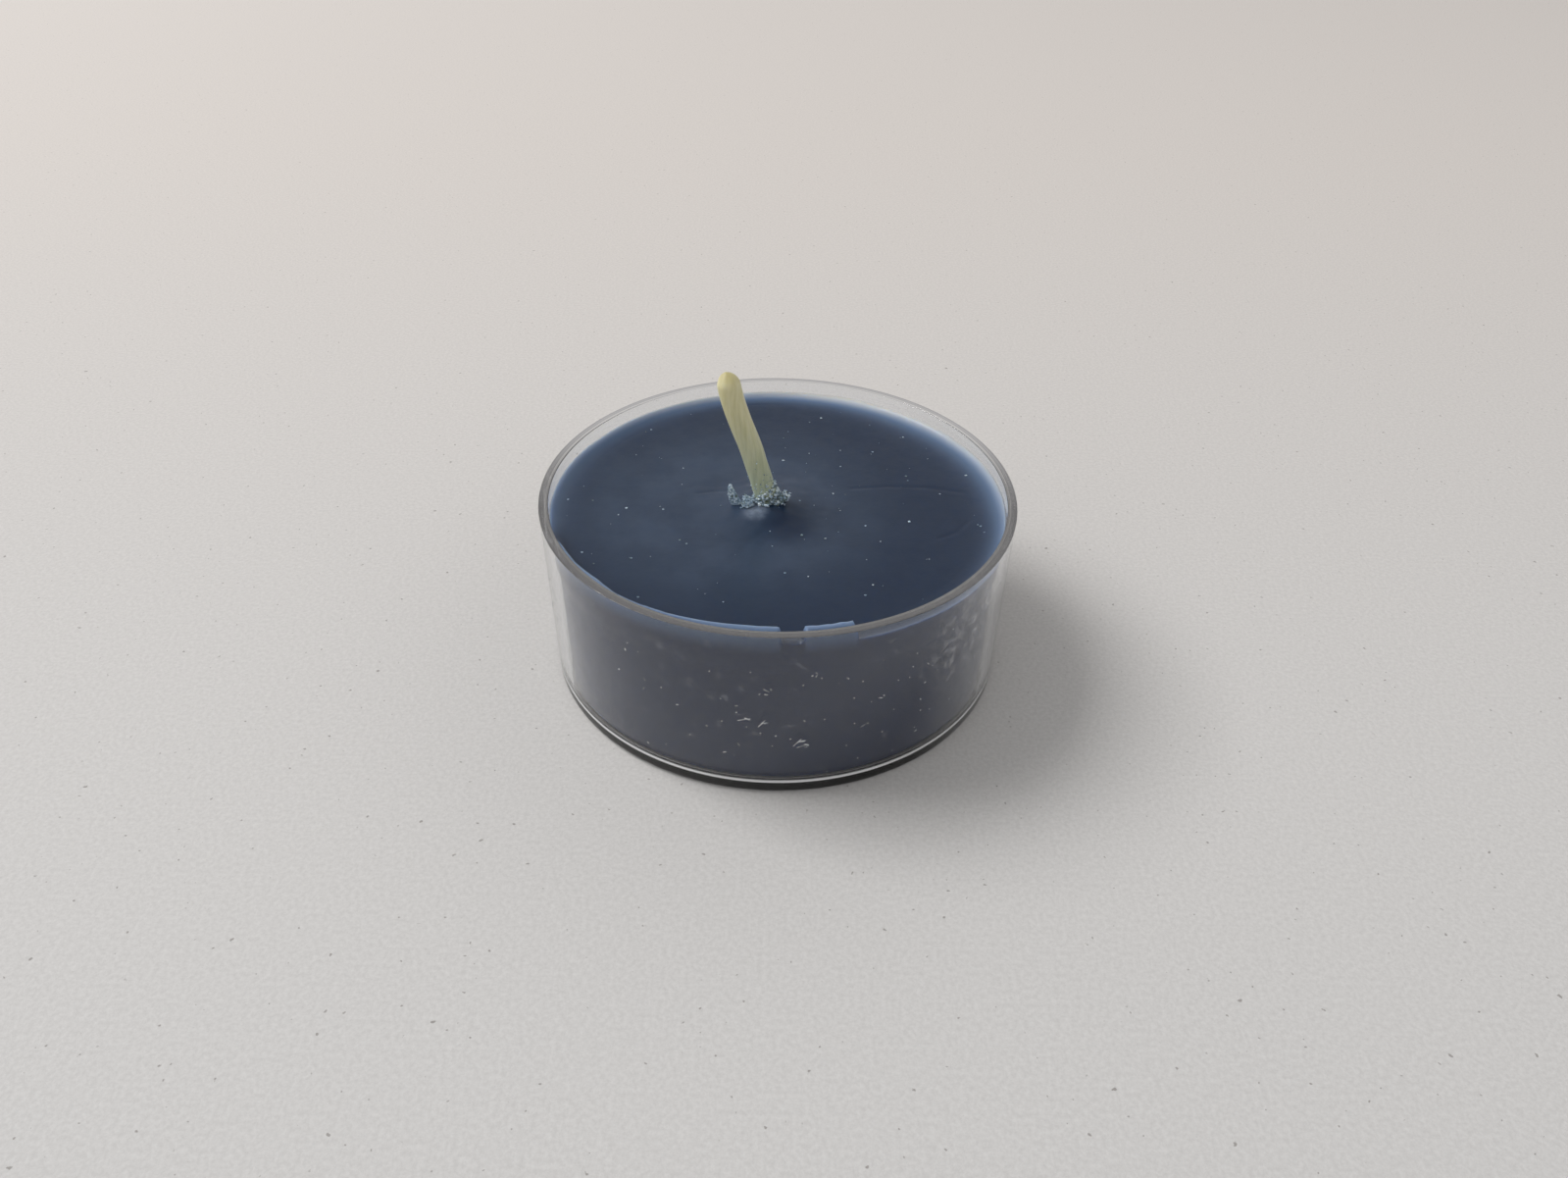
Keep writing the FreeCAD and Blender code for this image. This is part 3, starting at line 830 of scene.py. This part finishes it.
def blue_wax(name="blue_wax", gloss=0.5, deep=(6, 30, 60)):
    """Dark slate-blue wax, lighter where light comes through its edge as a painted glow, with painted highlights
    on the lip's crest and on the mound, and painted shade on the mound's front slope.
    """
    made, nodes, links, shader = material(name)
    shader.inputs["Specular IOR Level"].default_value = gloss
    place = place_in_mm(nodes, links)
    painted_edge_glow = nodes.new("ShaderNodeAttribute")
    painted_edge_glow.attribute_name = "painted_edge_glow"
    # The colour is lighter round a place on the top, fading out 16 mm from it
    distance = nodes.new("ShaderNodeVectorMath")
    distance.operation = "DISTANCE"
    distance.inputs[1].default_value = (*lighter_top_place, wax_level)
    links.new(place, distance.inputs[0])
    lighter_top = ranged(nodes, links, distance.outputs["Value"], 16.0, 6.0)
    mottle = ranged(nodes, links, noise_field(nodes, links, place, 0.3, 5.0, 0.55), 0.3, 0.7, 0.6, 1.2)
    # Painted shade: the lighter colour gives way to the deep colour on the mound's front slope
    slope = nodes.new("ShaderNodeVectorMath")
    slope.operation = "DISTANCE"
    slope.inputs[1].default_value = (*painted_shade_slope_place, wax_level)
    links.new(place, slope.inputs[0])
    lighter_top = math_node(nodes, links, "MULTIPLY", lighter_top, ranged(nodes, links, slope.outputs["Value"], 0.8, 3.6))
    body = mixed(nodes, links, math_node(nodes, links, "MULTIPLY", lighter_top, mottle), srgb(*deep), srgb(44, 61, 84))
    # Painted highlight: a pale cloudy patch on the mound's left front
    shine = nodes.new("ShaderNodeVectorMath")
    shine.operation = "DISTANCE"
    shine.inputs[1].default_value = (*mound_shine_place, wax_level + mound_shine_rise)
    links.new(place, shine.inputs[0])
    near = ranged(nodes, links, shine.outputs["Value"], 1.4, 0.1, 0.0, 0.95)
    cloudy = ranged(nodes, links, noise_field(nodes, links, place, 1.3, 4.0, 0.6), 0.35, 0.6, 0.45, 1.0)
    patch = math_node(nodes, links, "MULTIPLY", near, cloudy)
    body = mixed(nodes, links, patch, body, srgb(128, 140, 158))
    # Painted glow towards the wall and painted highlight on the lip's crest lighten the colour
    painted_glow = painted_edge_glow.outputs["Fac"]
    edge = mixed(nodes, links, ranged(nodes, links, painted_glow, 0.0, 0.65), body, srgb(108, 132, 164))
    pale = mixed(nodes, links, ranged(nodes, links, painted_glow, 0.38, 1.02), edge, srgb(220, 222, 222))
    links.new(pale, shader.inputs["Base Color"])
    shader.inputs["Subsurface Weight"].default_value = 1.0
    shader.inputs["Subsurface Radius"].default_value = (0.5, 0.65, 0.9)
    shader.inputs["Subsurface Scale"].default_value = MM
    shader.inputs["IOR"].default_value = 1.44
    shader.inputs["Specular Tint"].default_value = (0.9, 0.95, 1.0, 1)
    sheen = noise_field(nodes, links, place, 0.8, 4.0, 0.6)
    links.new(ranged(nodes, links, sheen, 0.3, 0.7, 0.3, 0.42), shader.inputs["Roughness"])
    bump(nodes, links, shader, noise_field(nodes, links, place, 1.6, 6.0, 0.6), 0.02, 0.6)
    return made


def waxed_wick():
    """Olive cream waxed cotton with twisted lengthwise fibres, and painted shade darkening its tip."""
    made, nodes, links, shader = material("waxed_wick")
    fibre = nodes.new("ShaderNodeAttribute")
    fibre.attribute_name = "fibre"
    streaks = noise_field(nodes, links, fibre.outputs["Vector"], 3.4, 6.0, 0.6)
    place = place_in_mm(nodes, links)
    parts = nodes.new("ShaderNodeSeparateXYZ")
    links.new(place, parts.inputs[0])
    climb = ranged(nodes, links, parts.outputs["Z"], wax_level, wax_level + 11)
    streaked = ranged(nodes, links, streaks, 0.3, 0.7)
    low = mixed(nodes, links, streaked, srgb(178, 192, 166), srgb(204, 214, 188))
    high = mixed(nodes, links, streaked, srgb(214, 208, 160), srgb(230, 224, 186))
    # Painted shade: the tip's colour darkens to a deeper olive
    painted_tip_shade = ranged(nodes, links, parts.outputs["Z"], wax_level + 11, wax_level + 12, 0.0, 0.8)
    body = mixed(nodes, links, climb, low, high)
    links.new(mixed(nodes, links, painted_tip_shade, body, srgb(176, 166, 116)), shader.inputs["Base Color"])
    shader.inputs["Subsurface Weight"].default_value = 0.6
    shader.inputs["Subsurface Radius"].default_value = (0.5, 0.45, 0.25)
    shader.inputs["Subsurface Scale"].default_value = MM
    shader.inputs["Roughness"].default_value = 0.46
    bump(nodes, links, shader, streaks, 0.04, 0.5)
    return made


def wax_crumbs():
    """Pale blue-grey crumbled wax."""
    made, nodes, links, shader = material("wax_crumbs")
    place = place_in_mm(nodes, links)
    tone = nodes.new("ShaderNodeAttribute")
    tone.attribute_name = "tone"
    tint = ranged(nodes, links, noise_field(nodes, links, place, 5.0, 4.0, 0.6), 0.38, 0.62, -0.3, 0.3)
    tint = math_node(nodes, links, "ADD", tint, tone.outputs["Fac"])
    dark = mixed(nodes, links, ranged(nodes, links, tint, -0.1, 0.4), srgb(100, 112, 98), srgb(146, 172, 196))
    links.new(mixed(nodes, links, ranged(nodes, links, tint, 0.4, 0.75), dark, srgb(222, 236, 243)),
              shader.inputs["Base Color"])
    bump(nodes, links, shader, noise_field(nodes, links, place, 8.0, 3.0, 0.6), 0.06, 0.9)
    shader.inputs["Subsurface Weight"].default_value = 0.05
    shader.inputs["Subsurface Radius"].default_value = (0.2, 0.25, 0.35)
    shader.inputs["Subsurface Scale"].default_value = MM
    shader.inputs["Roughness"].default_value = 0.28
    return made


def tin_plate():
    """Plain stamped tin plate with fine drawing lines."""
    made, nodes, links, shader = material("tin_plate")
    shader.inputs["Base Color"].default_value = (0.62, 0.62, 0.6, 1)
    shader.inputs["Metallic"].default_value = 1.0
    place = place_in_mm(nodes, links)
    links.new(ranged(nodes, links, noise_field(nodes, links, place, 3.0, 6.0), 0.3, 0.7, 0.22, 0.42),
              shader.inputs["Roughness"])
    return made


def paper():
    """Pale matt table top, a little warmer at the back."""
    made, nodes, links, shader = material("paper")
    place = place_in_mm(nodes, links)
    parts = nodes.new("ShaderNodeSeparateXYZ")
    links.new(place, parts.inputs[0])
    back = ranged(nodes, links, parts.outputs["Y"], -60.0, 160.0)
    colour = mixed(nodes, links, back, srgb(209, 208, 207), srgb(216, 210, 205))
    fibres = ranged(nodes, links, noise_field(nodes, links, place, 3.0, 6.0, 0.75), 0.3, 0.7)
    colour = mixed(nodes, links, math_node(nodes, links, "MULTIPLY", fibres, 0.28), colour, srgb(150, 148, 146))
    dirt = ranged(nodes, links, noise_field(nodes, links, place, 1.9, 2.0, 0.4), 0.725, 0.76, 0.0, 0.6)
    colour = mixed(nodes, links, dirt, colour, srgb(110, 104, 98))
    links.new(colour, shader.inputs["Base Color"])
    shader.inputs["Roughness"].default_value = 0.75
    bump(nodes, links, shader, noise_field(nodes, links, place, 0.7, 9.0, 0.75), 0.06, 0.8)
    return made


# Stage

def make_table():
    """Table top that the candle stands on."""
    half = 1.2
    mesh = bpy.data.meshes.new("table_top")
    corners = [(-half, -half, 0), (half, -half, 0), (half, half, 0), (-half, half, 0)]
    mesh.from_pydata(corners, [], [(0, 1, 2, 3)])
    mesh.materials.append(paper())
    table = bpy.data.objects.new("table_top", mesh)
    bpy.context.collection.objects.link(table)


def make_world():
    """Soft light from all round, a little less from overhead."""
    world = bpy.data.worlds.new("daylight")
    bpy.context.scene.world = world
    world.use_nodes = True
    nodes, links = world.node_tree.nodes, world.node_tree.links
    background = nodes["Background"]
    background.inputs["Color"].default_value = (1.0, 0.99, 0.985, 1)
    parts = nodes.new("ShaderNodeSeparateXYZ")
    links.new(nodes.new("ShaderNodeTexCoord").outputs["Generated"], parts.inputs[0])
    low = ranged(nodes, links, parts.outputs["Z"], 0.38, 0.62, 0.51, 0.71)
    high = ranged(nodes, links, parts.outputs["Z"], 0.66, 0.96, 1.0, 0.4)
    links.new(math_node(nodes, links, "MULTIPLY", low, high), background.inputs["Strength"])


def make_window():
    """Large soft window light from the left, a little from behind."""
    data = bpy.data.lights.new("window", "AREA")
    data.shape = "SQUARE"
    data.size = window_size * MM
    data.energy = window_watts
    data.color = (1.0, 0.99, 0.98)
    window = bpy.data.objects.new("window", data)
    bpy.context.collection.objects.link(window)
    towards = Vector(window_direction).normalized()
    window.location = towards * window_distance * MM
    window.rotation_mode = "QUATERNION"
    window.rotation_quaternion = towards.to_track_quat("Z", "Y")


def make_camera():
    """Camera at the photograph's place."""
    pitch, yaw, roll = (math.radians(angle) for angle in (camera_pitch, camera_yaw, camera_roll))
    ahead = Vector((math.sin(yaw) * math.cos(pitch), math.cos(yaw) * math.cos(pitch), -math.sin(pitch)))
    level = ahead.cross(Vector((0, 0, 1))).normalized()
    upright = level.cross(ahead)
    right = math.cos(roll) * level + math.sin(roll) * upright
    up = math.cos(roll) * upright - math.sin(roll) * level
    data = bpy.data.cameras.new("camera")
    data.sensor_width = sensor_width
    data.lens = focal_px * sensor_width / photo_width_px
    data.clip_start = 0.005
    camera = bpy.data.objects.new("camera", data)
    bpy.context.collection.objects.link(camera)
    placed = Matrix((right, up, -ahead)).transposed().to_4x4()
    placed.translation = Vector(camera_place) * MM
    camera.matrix_world = placed
    bpy.context.scene.camera = camera


def dress_sustainer():
    """The wick's foot keeps its solid and gets its metal."""
    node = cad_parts["wick_sustainer"]
    node.data.materials.clear()
    node.data.materials.append(tin_plate())


make_cup()
make_wax()
make_wick()
crumbled = wax_crumbs()
make_crust(crumbled)
make_curl(crumbled)
make_chip("left_chip", "wax_chip_left", crumbled, 14, 3, (0.95, 1.0, 1.1), (0.0, 0.0, 0.05), 0.65)
make_chip("right_chip", "wax_chip_right", crumbled, 24, 8, (0.75, 1.0, 1.15), (-0.4, 0.0, 0.3), 0.8)
make_specks(crumbled)
make_flecks()
dress_sustainer()
make_table()
make_world()
make_window()
make_camera()
bpy.context.scene.view_settings.view_transform = "Standard"
